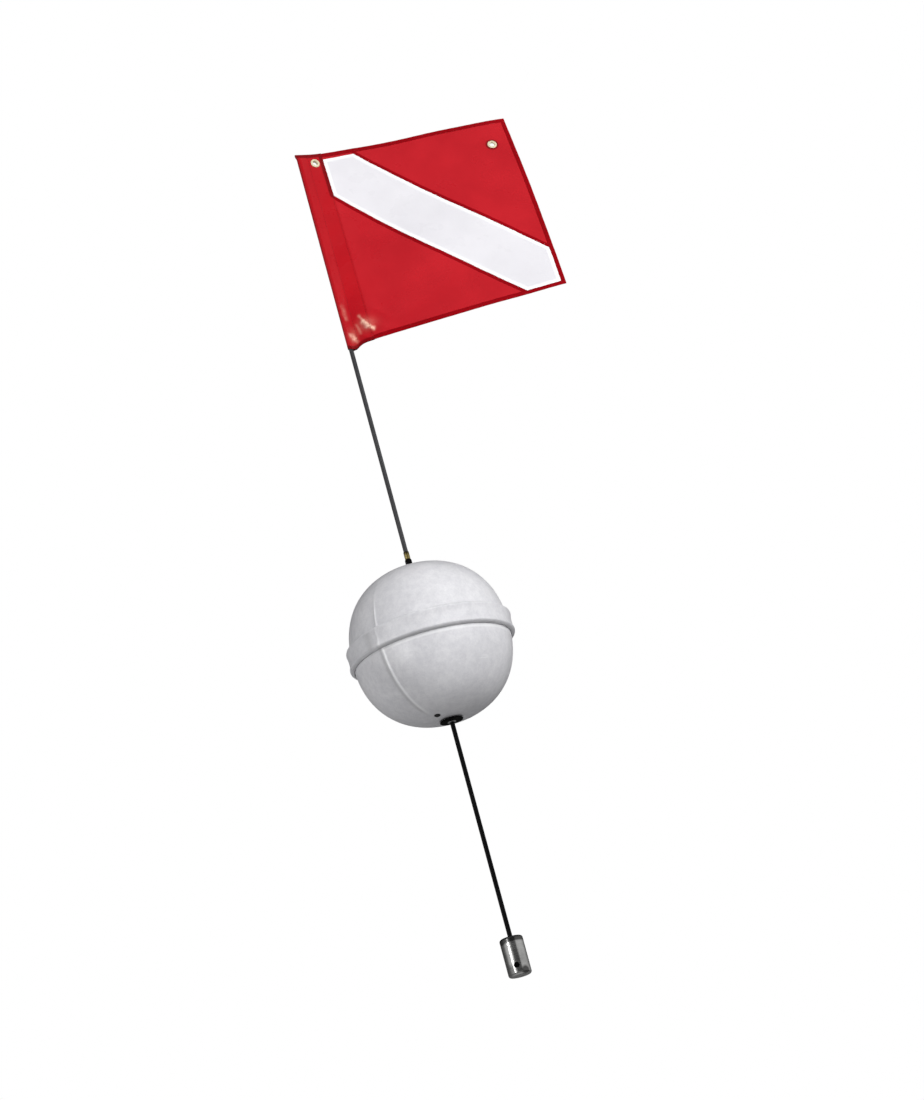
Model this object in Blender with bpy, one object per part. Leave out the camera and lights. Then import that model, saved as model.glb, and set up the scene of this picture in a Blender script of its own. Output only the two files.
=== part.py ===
"""Dive flag float: a hard ball float on a two-piece pole with a vinyl flag
above it and a metal weight below it.

Frame: metres, +Z up along the pole towards the flag, origin at the centre of
the ball on the pole's axis, the flag flying towards +X, the front side -Y.
"""
import math

import bmesh
import bpy
import numpy as np
from mathutils import Matrix, Vector

MM = 0.001

# ---------------------------------------------------------------- dimensions (mm)
GAP = 0.3                      # clearance between neighbouring pieces

BALL_A = 122.0                 # ball radius at its waist, beside the belt
BALL_B = 123.6                 # half height of the ball along the pole
BALL_N = 2.3                   # 2 would be an ellipse; a little squarer than that
WALL = 3.0                     # ball wall thickness
SEAT_Z = 121.5                 # flat seats at the two poles of the ball
LIP_R = 128.6                  # crest of the belt's two lips
VALLEY_R = 127.3               # shallow valley between the lips
BELT_TOP = 16.6
BELT_BOTTOM = -16.2
SKIRT_IN_R = 122.5             # inside of the upper shell's skirt
LIP_HOLE_R = 7.3               # hole through the shell at each end
HUB_R = 12.6                   # boss inside the shell round the tube's end
HUB_Z = 106.0

POLE_R = 3.5                   # both glass-fibre rods
TUBE_IN_R = 7.2
TUBE_OUT_R = 9.2
TUBE_Z = 117.6                 # core tube reaches this high and this low

POLE_LOWER_TOP = 98.0
POLE_LOWER_BOTTOM = -501.0
SOCKET_Z0, SOCKET_Z1 = 84.0, 140.6
SPIGOT_R = 1.9
SPIGOT_Z0 = 112.0
FERRULE_Z0, FERRULE_Z1 = 140.9, 153.0
FERRULE_R = 4.25
POLE_UPPER_Z0, POLE_UPPER_Z1 = 145.2, 846.0

COLLAR_R = 5.25
COLLAR_Z0, COLLAR_Z1 = 123.6, 140.5

WASHER_R = 18.0
WASHER_Z0, WASHER_Z1 = -125.6, -123.3
NUT_R = 6.6
BUSH_R = 11.5
BUSH_Z0, BUSH_Z1 = 121.8, 123.0

WEIGHT_R = 17.5
WEIGHT_Z0, WEIGHT_Z1 = -521.5, -464.0
WEIGHT_FILLET = 3.8
EYE_R = 4.4                    # cross hole for the line
EYE_Z = -508.0
EYE_TURN = 5.0                 # degrees, the hole's direction about the pole
SCREW_Z = -484.0
SCREW_R = 2.5

PLUG_R_AT = 37.8               # vent plug's distance from the pole's axis
PLUG_AZ = 29.1                 # degrees from the front towards -X
PLUG_HEAD_R = 4.5
PLUG_STEM_R = 2.6

FLAG_TOP = 862.3               # top of the hoist
FLAG_H = 355.6                 # along the pole
FLAG_W = 365.6                 # from the sleeve's fold to the fly edge
FOLD_TO_AXIS = 5.2             # the pole lies this far inside the fold
FLY_LIFT = 22.6                # the fly side stands this much higher
HEAD_DIP = 4.8                 # the upper hoist corner has slid down the pole
FOOT_DROOP = 6.5               # the sleeve's lower end sags beside the pole
TOP_YAW = (34.0, -3.5, 18.0)   # heading of the top edge, hoist to fly
BOTTOM_YAW = (-0.7, 5.7, 8.4)  # heading of the bottom edge
SHEET_T = 0.7
SLEEVE_T = 0.8
SLEEVE_LOOP_R = 4.35           # middle of the sleeve's cloth round the pole
SLEEVE_STITCH = 17.0
SLEEVE_END = 45.7
LEAF_H = 1.15                  # sleeve leaf's distance from the sheet's middle
PANEL_U0 = 18.6
BORDER_TOP = 11.4              # red border outside the stripe
BORDER_FOOT = 6.6
BORDER_FLY = 7.4
STRIPE_T = 0.4
STRIPE_H = 0.95
STRIPE_SLOPE = 1.037
STRIPE_UPPER = -92.9
STRIPE_LOWER = 36.6
GROM_HOIST = (30.5, 17.8)
GROM_FLY = (329.0, 50.4)
GROM_R = 7.7
GROM_HOLE_R = 4.25
GROM_BARREL_R = 4.6

# ---------------------------------------------------------------- helpers
for ob in list(bpy.data.objects):
    bpy.data.objects.remove(ob, do_unlink=True)


def material(name, finish):
    """The piece's own material: colour, roughness and metallic value."""
    colour, rough, metallic = finish
    m = bpy.data.materials.new(name)
    m.use_nodes = True
    b = m.node_tree.nodes["Principled BSDF"]
    b.inputs["Base Color"].default_value = (*colour, 1.0)
    b.inputs["Roughness"].default_value = rough
    b.inputs["Metallic"].default_value = metallic
    m.diffuse_color = (*colour, 1.0)
    return m


# finishes: colour, roughness, metallic
SHELL = ((0.78, 0.78, 0.80), 0.42, 0.0)
ROD = ((0.035, 0.035, 0.038), 0.35, 0.0)
RUBBER = ((0.015, 0.015, 0.016), 0.6, 0.0)
BRASS = ((0.55, 0.43, 0.16), 0.3, 1.0)
STEEL = ((0.5, 0.5, 0.5), 0.3, 1.0)
BRIGHT = ((0.62, 0.62, 0.61), 0.22, 1.0)
TUBE = ((0.7, 0.7, 0.7), 0.5, 0.0)
RED = ((0.62, 0.02, 0.025), 0.45, 0.0)
WHITE = ((0.85, 0.85, 0.88), 0.45, 0.0)

AXES = {}


def empty(name, at=(0, 0, 0), rot=None, parent=None):
    e = bpy.data.objects.new(name, None)
    bpy.context.scene.collection.objects.link(e)
    e.empty_display_size = 0.05
    e.location = Vector(at) * MM
    if rot is not None:
        e.rotation_euler = rot.to_euler()
    if parent is not None:
        e.parent = AXES[parent]
    AXES[name] = e
    return e


def piece(name, bm, finish, axis=None, smooth=35.0):
    """Turn a bmesh in millimetres into a named object in metres."""
    bmesh.ops.recalc_face_normals(bm, faces=bm.faces)
    bmesh.ops.scale(bm, vec=(MM, MM, MM), verts=bm.verts)
    me = bpy.data.meshes.new(name)
    bm.to_mesh(me)
    bm.free()
    me.materials.append(material(name + "_finish", finish))
    ob = bpy.data.objects.new(name, me)
    bpy.context.scene.collection.objects.link(ob)
    if smooth:
        me.shade_smooth()
        me.set_sharp_from_angle(angle=math.radians(smooth))
    if axis is not None:
        ob.parent = AXES[axis]
    return ob


def turned(profile, steps):
    """Spin a closed (r, z) outline about Z. Points on the axis are merged."""
    bm = bmesh.new()
    vs = [bm.verts.new((r, 0.0, z)) for r, z in profile]
    on_axis = [abs(r) < 1e-9 for r, _ in profile]
    es = []
    n = len(vs)
    for i in range(n):
        j = (i + 1) % n
        if on_axis[i] and on_axis[j]:
            continue
        es.append(bm.edges.new((vs[i], vs[j])))
    bmesh.ops.spin(bm, geom=vs + es, cent=(0, 0, 0), axis=(0, 0, 1),
                   angle=2 * math.pi, steps=steps, use_merge=True,
                   use_duplicate=False)
    bmesh.ops.remove_doubles(bm, verts=bm.verts, dist=1e-4)
    return bm


def rod(radius, z0, z1, steps, bevel=0.4):
    return turned([(0, z0), (radius - bevel, z0), (radius, z0 + bevel),
                   (radius, z1 - bevel), (radius - bevel, z1), (0, z1)], steps)


def ring(r_in, r_out, z0, z1, steps, bevel=0.0):
    if bevel <= 0:
        return turned([(r_in, z0), (r_out, z0), (r_out, z1), (r_in, z1)], steps)
    return turned([(r_in, z0), (r_out - bevel, z0), (r_out, z0 + bevel),
                   (r_out, z1 - bevel), (r_out - bevel, z1), (r_in, z1)], steps)


def cutter(name, bm):
    ob = piece(name, bm, STEEL, smooth=0)
    ob.hide_render = True
    ob.display_type = 'WIRE'
    return ob


def cylinder_between(p, q, radius, steps=20):
    """A plain closed cylinder in millimetres from point p to point q."""
    p, q = Vector(p), Vector(q)
    d = q - p
    bm = bmesh.new()
    bmesh.ops.create_cone(bm, cap_ends=True, segments=steps, radius1=radius,
                          radius2=radius, depth=d.length)
    rot = d.to_track_quat('Z', 'Y').to_matrix().to_4x4()
    bmesh.ops.transform(bm, matrix=Matrix.Translation((p + q) / 2) @ rot,
                        verts=bm.verts)
    return bm


def cut(ob, cutting):
    m = ob.modifiers.new("cut_" + cutting.name, 'BOOLEAN')
    m.operation = 'DIFFERENCE'
    m.solver = 'EXACT'
    m.object = cutting


# ---------------------------------------------------------------- the ball
def ball_r(z, a=BALL_A, b=BALL_B):
    t = min(abs(z) / b, 1.0)
    return a * (1.0 - t ** BALL_N) ** (1.0 / BALL_N)


def ball_z(r, a=BALL_A, b=BALL_B):
    t = min(r / a, 1.0)
    return b * (1.0 - t ** BALL_N) ** (1.0 / BALL_N)


def arc_points(z_low, z_high, count, a=BALL_A, b=BALL_B):
    """Points of the ball's outline between two heights, evenly by angle."""
    lo = math.atan2(z_low / b, ball_r(z_low, a, b) / a)
    hi = math.atan2(z_high / b, ball_r(z_high, a, b) / a)
    pts = []
    for i in range(count):
        th = lo + (hi - lo) * i / (count - 1)
        c, s = math.cos(th), math.sin(th)
        k = (abs(c) ** BALL_N + abs(s) ** BALL_N) ** (-1.0 / BALL_N)
        pts.append((a * k * c, b * k * s))
    return pts


empty("ball_axis")
empty("lower_pole_axis", parent="ball_axis")
empty("upper_pole_axis", parent="lower_pole_axis")
empty("flag_axis", parent="upper_pole_axis")

SHELL_STEPS = 40
IN_A, IN_B = BALL_A - WALL, BALL_B - WALL
LAP_TOP = 3.2                  # shoulder inside the skirt


def hub_end():
    """The boss that holds the core tube, from the wall inwards."""
    hub_out_z = ball_z(HUB_R, IN_A, IN_B)
    return [(HUB_R, hub_out_z - 0.2), (HUB_R, HUB_Z), (TUBE_OUT_R + 0.35, HUB_Z),
            (TUBE_OUT_R + 0.35, 119.6), (LIP_HOLE_R, 119.6)]


# upper shell: the dome, its seat, and the belt with the skirt over the joint
outer = arc_points(BELT_TOP + 0.6, SEAT_Z, 10)
inner = arc_points(LAP_TOP, ball_z(HUB_R, IN_A, IN_B) - 0.2, 9, IN_A, IN_B)
upper = ([(LIP_HOLE_R, SEAT_Z)] + outer[::-1]
         + [(LIP_R - 1.6, BELT_TOP - 0.6), (LIP_R, 13.2), (VALLEY_R + 0.5, 7.0),
            (VALLEY_R, 0.5), (VALLEY_R + 0.5, -5.0), (LIP_R, -11.0),
            (LIP_R - 0.5, -13.2), (LIP_R - 2.5, BELT_BOTTOM + 1.3),
            (SKIRT_IN_R + 0.9, BELT_BOTTOM), (SKIRT_IN_R, BELT_BOTTOM),
            (SKIRT_IN_R, LAP_TOP)]
         + inner[:-1] + hub_end())
shell_upper = piece("shell_upper", turned(upper, SHELL_STEPS), SHELL, "ball_axis")

# lower shell: a plain bowl whose rim tucks up inside the skirt
SPIGOT_TOP = 0.2
outer = arc_points(-SEAT_Z, -1.0, 12)
inner = arc_points(-(ball_z(HUB_R, IN_A, IN_B) - 0.2), SPIGOT_TOP, 9, IN_A, IN_B)
lower = ([(r, -z) for r, z in hub_end()][::-1][:-1] + inner
         + [(BALL_A - 0.2, SPIGOT_TOP)] + outer[::-1]
         + [(LIP_HOLE_R, -SEAT_Z)])
shell_lower = piece("shell_lower", turned(lower, SHELL_STEPS), SHELL, "ball_axis")

piece("belt_seal", ring(IN_A + 0.4, SKIRT_IN_R - 0.5, SPIGOT_TOP + GAP,
                        LAP_TOP - GAP, SHELL_STEPS), RUBBER, "ball_axis")

piece("core_tube", ring(TUBE_IN_R, TUBE_OUT_R, -TUBE_Z, TUBE_Z, 24), TUBE,
      "ball_axis")
for side, sign in (("upper", 1), ("lower", -1)):
    z0, z1 = sorted((sign * (TUBE_Z + GAP), sign * 119.3))
    piece("tube_seal_" + side, ring(TUBE_IN_R + 0.3, TUBE_OUT_R - 0.1, z0, z1, 24),
          RUBBER, "ball_axis")
    # flanged bush: barrel in the tube, flange on the seat outside
    prof = [(3.85, 106.0), (6.85, 106.0), (6.85, BUSH_Z0), (BUSH_R, BUSH_Z0),
            (BUSH_R, BUSH_Z1 - 0.4), (BUSH_R - 0.4, BUSH_Z1), (3.85, BUSH_Z1)]
    piece("pole_bush_" + side, turned([(r, sign * z) for r, z in prof], 24), TUBE,
          "ball_axis")

# vent plug on the underside, square to the surface
pz = -ball_z(PLUG_R_AT)
grad_r = (PLUG_R_AT / BALL_A) ** (BALL_N - 1) / BALL_A
grad_z = (abs(pz) / BALL_B) ** (BALL_N - 1) / BALL_B
lean = math.atan2(grad_r, grad_z)
az = math.radians(PLUG_AZ)
radial = Vector((-math.sin(az), -math.cos(az), 0.0))
plug_at = radial * PLUG_R_AT + Vector((0, 0, pz))
plug_n = (radial * math.sin(lean) + Vector((0, 0, -math.cos(lean)))).normalized()
plug_frame = plug_n.to_track_quat('Z', 'Y')

seat = cutter("plug_seat_cutter", cylinder_between(
    plug_at - plug_n * 0.9, plug_at + plug_n * 6, PLUG_HEAD_R + 0.9, 24))
hole = cutter("plug_hole_cutter", cylinder_between(
    plug_at - plug_n * 12, plug_at + plug_n * 3, PLUG_STEM_R + 0.35, 20))
cut(shell_lower, seat)
cut(shell_lower, hole)

empty("vent_plug_axis", at=plug_at, rot=plug_frame, parent="ball_axis")
piece("vent_plug", turned(
    [(0, -6.6), (PLUG_STEM_R - 0.7, -6.6), (PLUG_STEM_R, -5.4),
     (PLUG_STEM_R, -0.55), (PLUG_HEAD_R, -0.55), (PLUG_HEAD_R, 0.4),
     (PLUG_HEAD_R - 0.8, 1.0), (0, 1.2)], 20), RUBBER, "vent_plug_axis")

# ---------------------------------------------------------------- the pole
LP, UP = "lower_pole_axis", "upper_pole_axis"
piece("pole_lower", rod(POLE_R, POLE_LOWER_BOTTOM, POLE_LOWER_TOP, 20), ROD, LP)

# brass socket on the lower rod: a sleeve below, a neck with the socket above
piece("pole_socket", turned(
    [(POLE_R + GAP, SOCKET_Z0), (4.8, SOCKET_Z0), (4.8, 103.6), (3.5, 105.0),
     (3.5, SOCKET_Z1), (SPIGOT_R + GAP, SOCKET_Z1), (SPIGOT_R + GAP, 110.5),
     (0, 110.5), (0, POLE_LOWER_TOP + GAP), (POLE_R + GAP, POLE_LOWER_TOP + GAP)],
    20), BRASS, LP)

piece("top_collar", turned(
    [(3.8, COLLAR_Z0), (COLLAR_R - 0.6, COLLAR_Z0), (COLLAR_R, COLLAR_Z0 + 1.0),
     (COLLAR_R, COLLAR_Z1 - 1.8), (COLLAR_R - 0.7, COLLAR_Z1 - 0.4),
     (COLLAR_R - 1.1, COLLAR_Z1 - 0.02), (3.8, COLLAR_Z1)], 24), RUBBER, LP)

piece("bottom_washer", ring(3.85, WASHER_R, WASHER_Z0, WASHER_Z1, 32, 0.6),
      RUBBER, LP)
piece("push_nut", turned(
    [(3.85, WASHER_Z0 - 1.3), (4.8, WASHER_Z0 - 1.5), (NUT_R, WASHER_Z0 - 0.9),
     (NUT_R, WASHER_Z0 - GAP), (3.85, WASHER_Z0 - GAP - 0.3)], 20), STEEL, LP)

# weight with a blind bore for the rod and a cross hole for the line
f = WEIGHT_FILLET
prof = [(0, WEIGHT_Z0)]
for i in range(5):
    a = math.radians(-90 + 22.5 * i)
    prof.append((WEIGHT_R - f + f * math.cos(a), WEIGHT_Z0 + f + f * math.sin(a)))
for i in range(5):
    a = math.radians(22.5 * i)
    prof.append((WEIGHT_R - f + f * math.cos(a), WEIGHT_Z1 - f + f * math.sin(a)))
prof += [(POLE_R + GAP, WEIGHT_Z1), (POLE_R + GAP, POLE_LOWER_BOTTOM - GAP),
         (0, POLE_LOWER_BOTTOM - GAP)]
weight = piece("weight", turned(prof, 32), BRIGHT, LP)
t = math.radians(EYE_TURN)
eye_dir = Vector((-math.sin(t), -math.cos(t), 0.0))
eye = cutter("eye_cutter", cylinder_between(
    eye_dir * -30 + Vector((0, 0, EYE_Z)), eye_dir * 30 + Vector((0, 0, EYE_Z)),
    EYE_R, 24))
cut(weight, eye)
screw_hole = cutter("screw_hole_cutter", cylinder_between(
    (0, 1.0, SCREW_Z), (0, 30, SCREW_Z), SCREW_R + GAP, 16))
cut(weight, screw_hole)

# set screw on the back, clamping the rod, with a hexagon socket
screw = piece("weight_set_screw", cylinder_between(
    (0, POLE_R + 0.45, SCREW_Z), (0, WEIGHT_R - 0.8, SCREW_Z), SCREW_R, 16),
    STEEL, LP)
hexagon = cutter("hex_cutter", cylinder_between(
    (0, WEIGHT_R - 3.6, SCREW_Z), (0, WEIGHT_R + 3, SCREW_Z), 1.45, 6))
cut(screw, hexagon)

piece("pole_upper", rod(POLE_R, POLE_UPPER_Z0, POLE_UPPER_Z1, 20), ROD, UP)

# brass ferrule on the upper rod, with the spigot that plugs into the socket
piece("pole_ferrule", turned(
    [(0, SPIGOT_Z0), (SPIGOT_R - 0.4, SPIGOT_Z0), (SPIGOT_R, SPIGOT_Z0 + 0.8),
     (SPIGOT_R, FERRULE_Z0), (FERRULE_R - 0.3, FERRULE_Z0),
     (FERRULE_R, FERRULE_Z0 + 0.4), (FERRULE_R, FERRULE_Z1 - 0.3),
     (POLE_R + GAP, FERRULE_Z1), (POLE_R + GAP, POLE_UPPER_Z0 - GAP),
     (0, POLE_UPPER_Z0 - GAP)], 20), BRASS, UP)

piece("pole_tip", turned(
    [(0, POLE_UPPER_Z1 + GAP), (POLE_R, POLE_UPPER_Z1 + GAP),
     (POLE_R, POLE_UPPER_Z1 + 2.0), (POLE_R * 0.75, POLE_UPPER_Z1 + 3.6),
     (0, POLE_UPPER_Z1 + 4.4)], 16), RUBBER, UP)


# ---------------------------------------------------------------- the flag
GX, GW = np.polynomial.legendre.leggauss(8)


def quad(c, s):
    return c[0] * (1 - s) ** 2 + 2 * c[1] * s * (1 - s) + c[2] * s ** 2


def row(u, t):
    """x, y and their rates with t of the sheet's middle, u along the row and
    t from 0 at the bottom edge to 1 at the top. The row starts on the pole's
    axis and its heading is a blend of the bottom's and the top's."""
    u = np.asarray(u, float)
    t = np.asarray(t, float)
    span = u - FOLD_TO_AXIS
    x = np.zeros(np.broadcast(u, t).shape)
    y, xt, yt = x.copy(), x.copy(), x.copy()
    for g, w in zip(GX, GW):
        uu = FOLD_TO_AXIS + span * (g + 1) / 2
        s = uu / FLAG_W
        top = np.radians(quad(TOP_YAW, s))
        bot = np.radians(quad(BOTTOM_YAW, s))
        psi = t * top + (1 - t) * bot
        k = w * span / 2
        x = x + k * np.cos(psi)
        y = y + k * np.sin(psi)
        xt = xt - k * np.sin(psi) * (top - bot)
        yt = yt + k * np.cos(psi) * (top - bot)
    return x, y, xt, yt


def ease(x):
    """0 below 0, 1 above 1, and smooth between."""
    x = np.clip(x, 0.0, 1.0)
    return x * x * (3 - 2 * x)


def slump(u, v):
    """How far the hoist's cloth hangs below its even shape."""
    head = HEAD_DIP * (1 - ease((u - 20.0) / 90.0)) * (1 - ease(v / 130.0))
    foot = FOOT_DROOP * np.exp(-((u - 12.0) / 10.0) ** 2) * ease((v - 305.0) / 50.0)
    return head + foot


def flag_mid(u, v):
    """Middle of the sheet at u along the fly and v down the hoist (mm)."""
    u, v = np.asarray(u, float), np.asarray(v, float)
    t = 1.0 - v / FLAG_H
    x, y, _, _ = row(u, t)
    z = FLAG_TOP - FLAG_H + FLY_LIFT * u / FLAG_W - slump(u, v)
    for g, w in zip(GX, GW):
        _, _, xt, yt = row(u, t * (g + 1) / 2)
        z = z + w * t / 2 * np.sqrt(FLAG_H ** 2 - xt ** 2 - yt ** 2)
    return np.stack(np.broadcast_arrays(x, y, z), -1)


def flag_point(u, v, h=0.0):
    """A point h off the sheet's middle, towards the back side (+)."""
    p = flag_mid(u, v)
    du = flag_mid(np.asarray(u, float) + 0.5, v) - flag_mid(np.asarray(u, float) - 0.5, v)
    dv = flag_mid(u, np.asarray(v, float) + 0.5) - flag_mid(u, np.asarray(v, float) - 0.5)
    n = np.cross(du, dv)
    n /= np.linalg.norm(n, axis=-1, keepdims=True)
    n = np.where(n[..., 1:2] < 0, -n, n)
    return p + n * np.asarray(h, float)[..., None]


def sheet(points, thickness):
    """A closed sheet from a grid of middle points, thickness either side."""
    rows, cols = points.shape[:2]
    bm = bmesh.new()
    grid = [[bm.verts.new(points[j, i]) for i in range(cols)] for j in range(rows)]
    for j in range(rows - 1):
        for i in range(cols - 1):
            bm.faces.new((grid[j][i], grid[j][i + 1], grid[j + 1][i + 1],
                          grid[j + 1][i]))
    bm.normal_update()
    return bm


def thick(ob, thickness):
    m = ob.modifiers.new("thickness", 'SOLIDIFY')
    m.thickness = thickness * MM
    m.offset = 0.0
    m.use_even_offset = True


FL = "flag_axis"
SLEEVE_MID = 32.0
PINCH = 3.2                    # the sleeve is sewn flat this far down
OPEN_FROM = 7.6                # and is fully open round the pole from here
ROWS = np.concatenate([[0.0, PINCH, OPEN_FROM], np.linspace(26.0, FLAG_H, 17)])
us = np.concatenate([[PANEL_U0, SLEEVE_MID, SLEEVE_END],
                     np.linspace(SLEEVE_END + 17.0, FLAG_W, 18)])
U, V = np.meshgrid(us, ROWS)
flag_panel = piece("flag_panel", sheet(flag_point(U, V, 0.0 * U), SHEET_T), RED, FL)
thick(flag_panel, SHEET_T)

# sleeve: two leaves on the sheet, flaring round the pole at the fold, and
# folded flat above the pole's tip
ARC = 7


def sleeve_section(loop_r, centre):
    """(u, h) along the cloth, back leaf first, round the fold, front leaf."""
    reach = SLEEVE_STITCH - centre
    tangent = (math.acos(loop_r / math.hypot(reach, LEAF_H))
               + math.atan2(LEAF_H, reach))
    leaf = [(SLEEVE_END, LEAF_H), (SLEEVE_MID, LEAF_H), (PANEL_U0, LEAF_H),
            (SLEEVE_STITCH, LEAF_H)]
    fold = []
    for i in range(ARC):
        a = tangent + (2 * math.pi - 2 * tangent) * i / (ARC - 1)
        fold.append((centre + loop_r * math.cos(a), loop_r * math.sin(a)))
    return leaf + fold + [(u, -h) for u, h in leaf[::-1]]


flat = sleeve_section(LEAF_H - 0.01, -0.5)
opened = sleeve_section(SLEEVE_LOOP_R, FOLD_TO_AXIS)
sections = [flat if v <= PINCH else opened for v in ROWS]
SU = np.array([[u for u, _ in sec] for sec in sections])
SH = np.array([[h for _, h in sec] for sec in sections])
SV = np.array([[v] * len(opened) for v in ROWS])
flag_sleeve = piece("flag_sleeve", sheet(flag_point(SU, SV, SH), SLEEVE_T), RED, FL)
thick(flag_sleeve, SLEEVE_T)


def broken(points, fractions, f):
    """Position at fraction f along a broken line."""
    us_ = np.interp(f, fractions, [p[0] for p in points])
    vs_ = np.interp(f, fractions, [p[1] for p in points])
    return us_, vs_


left, right = SLEEVE_END + 0.8, FLAG_W - BORDER_FLY
top, bottom = BORDER_TOP, FLAG_H - BORDER_FOOT
upper_line = [(left, top), ((top - STRIPE_UPPER) / STRIPE_SLOPE, top),
              (right, STRIPE_UPPER + STRIPE_SLOPE * right)]
lower_line = [(left, STRIPE_LOWER + STRIPE_SLOPE * left),
              ((bottom - STRIPE_LOWER) / STRIPE_SLOPE, bottom), (right, bottom)]
fr = sorted(set([0.16, 0.84] + [round(i / 18, 4) for i in range(19)]))
fr = np.array(fr)
uu, vu = broken(upper_line, [0, 0.16, 1], fr)
ul, vl = broken(lower_line, [0, 0.84, 1], fr)
w = np.linspace(0, 1, 6)[:, None]
PU = uu[None] * (1 - w) + ul[None] * w
PV = vu[None] * (1 - w) + vl[None] * w
for side, sign in (("front", -1), ("back", 1)):
    st = piece("flag_stripe_" + side,
               sheet(flag_point(PU, PV, sign * STRIPE_H + 0.0 * PU), STRIPE_T), WHITE, FL)
    thick(st, STRIPE_T)


def local_frame(u, v):
    p = Vector(flag_point(u, v, 0.0))
    q = Vector(flag_point(u, v, 1.0))
    return p, (q - p).normalized()


for name, (gu, gv), half in (("hoist", GROM_HOIST, LEAF_H + SLEEVE_T / 2),
                             ("fly", GROM_FLY, SHEET_T / 2)):
    p, n = local_frame(gu, gv)
    c = cutter("grommet_cutter_" + name,
               cylinder_between(p - n * 8, p + n * 8, GROM_BARREL_R + 0.5, 20))
    cut(flag_panel, c)
    if name == "hoist":
        cut(flag_sleeve, c)
    rot = n.to_track_quat('Z', 'Y')
    empty("grommet_%s_axis" % name, at=p, rot=rot, parent=FL)
    lo, hi = -(half + GAP), half + GAP
    # the eyelet: flange in front, barrel through the cloth, rolled lip behind
    piece("grommet_%s_eyelet" % name, turned(
        [(GROM_HOLE_R, hi + 0.9), (GROM_HOLE_R, lo - 0.35), (GROM_HOLE_R + 0.5, lo - 0.8),
         (GROM_R - 0.8, lo - 0.75), (GROM_R, lo - 0.3), (GROM_R - 0.3, lo),
         (GROM_BARREL_R, lo), (GROM_BARREL_R, hi + 0.8), (6.0, hi + 0.8),
         (5.9, hi + 1.1), (5.2, hi + 1.35), (GROM_HOLE_R + 0.4, hi + 1.25)], 24),
        BRASS, "grommet_%s_axis" % name)
    piece("grommet_%s_washer" % name, turned(
        [(4.95, hi), (GROM_R, hi), (GROM_R - 0.4, hi + 0.45), (4.95, hi + 0.5)], 24),
        BRASS, "grommet_%s_axis" % name)
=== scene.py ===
"""Looks for the dive flag float: fine surfaces, materials, light and camera."""
import math

import bmesh
import bpy
import numpy as np
from mathutils import Matrix, Vector


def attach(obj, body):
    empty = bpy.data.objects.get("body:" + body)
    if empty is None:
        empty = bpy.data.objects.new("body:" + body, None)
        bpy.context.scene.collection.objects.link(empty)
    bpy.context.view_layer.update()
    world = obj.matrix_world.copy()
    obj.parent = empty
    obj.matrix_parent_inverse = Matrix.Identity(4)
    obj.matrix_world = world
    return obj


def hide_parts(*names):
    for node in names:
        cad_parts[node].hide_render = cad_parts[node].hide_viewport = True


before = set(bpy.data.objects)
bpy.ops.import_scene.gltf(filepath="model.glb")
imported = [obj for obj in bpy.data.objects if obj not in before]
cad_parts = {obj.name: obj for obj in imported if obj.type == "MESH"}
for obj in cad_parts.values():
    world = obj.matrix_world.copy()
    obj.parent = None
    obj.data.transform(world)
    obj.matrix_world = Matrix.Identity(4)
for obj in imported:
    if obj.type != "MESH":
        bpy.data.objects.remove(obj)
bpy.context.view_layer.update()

MM = 0.001

# ------------------------------------------------------------------ camera
ELEVATION, ROLL = -17.0, -15.57
DISTANCE = 4.0
AIM = Vector((0.0838, 0.0, 0.1325))
e = math.radians(ELEVATION)
eye = Vector((0.0, -math.cos(e), math.sin(e))) * DISTANCE
fwd = (AIM - eye).normalized()
right = fwd.cross(Vector((0, 0, 1))).normalized()
up = right.cross(fwd)
r = math.radians(ROLL)
IMG_R = right * math.cos(r) + up * math.sin(r)
IMG_U = -right * math.sin(r) + up * math.cos(r)
cam_data = bpy.data.cameras.new("camera")
cam = bpy.data.objects.new("camera", cam_data)
bpy.context.scene.collection.objects.link(cam)
m = Matrix((IMG_R, IMG_U, -fwd)).transposed().to_4x4()
m.translation = eye
cam.matrix_world = m
cam_data.sensor_width = 36.0
cam_data.lens = 86.28
cam_data.clip_start = 0.05
cam_data.clip_end = 60.0
bpy.context.scene.camera = cam
bpy.context.scene.view_settings.view_transform = 'Standard'


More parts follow.
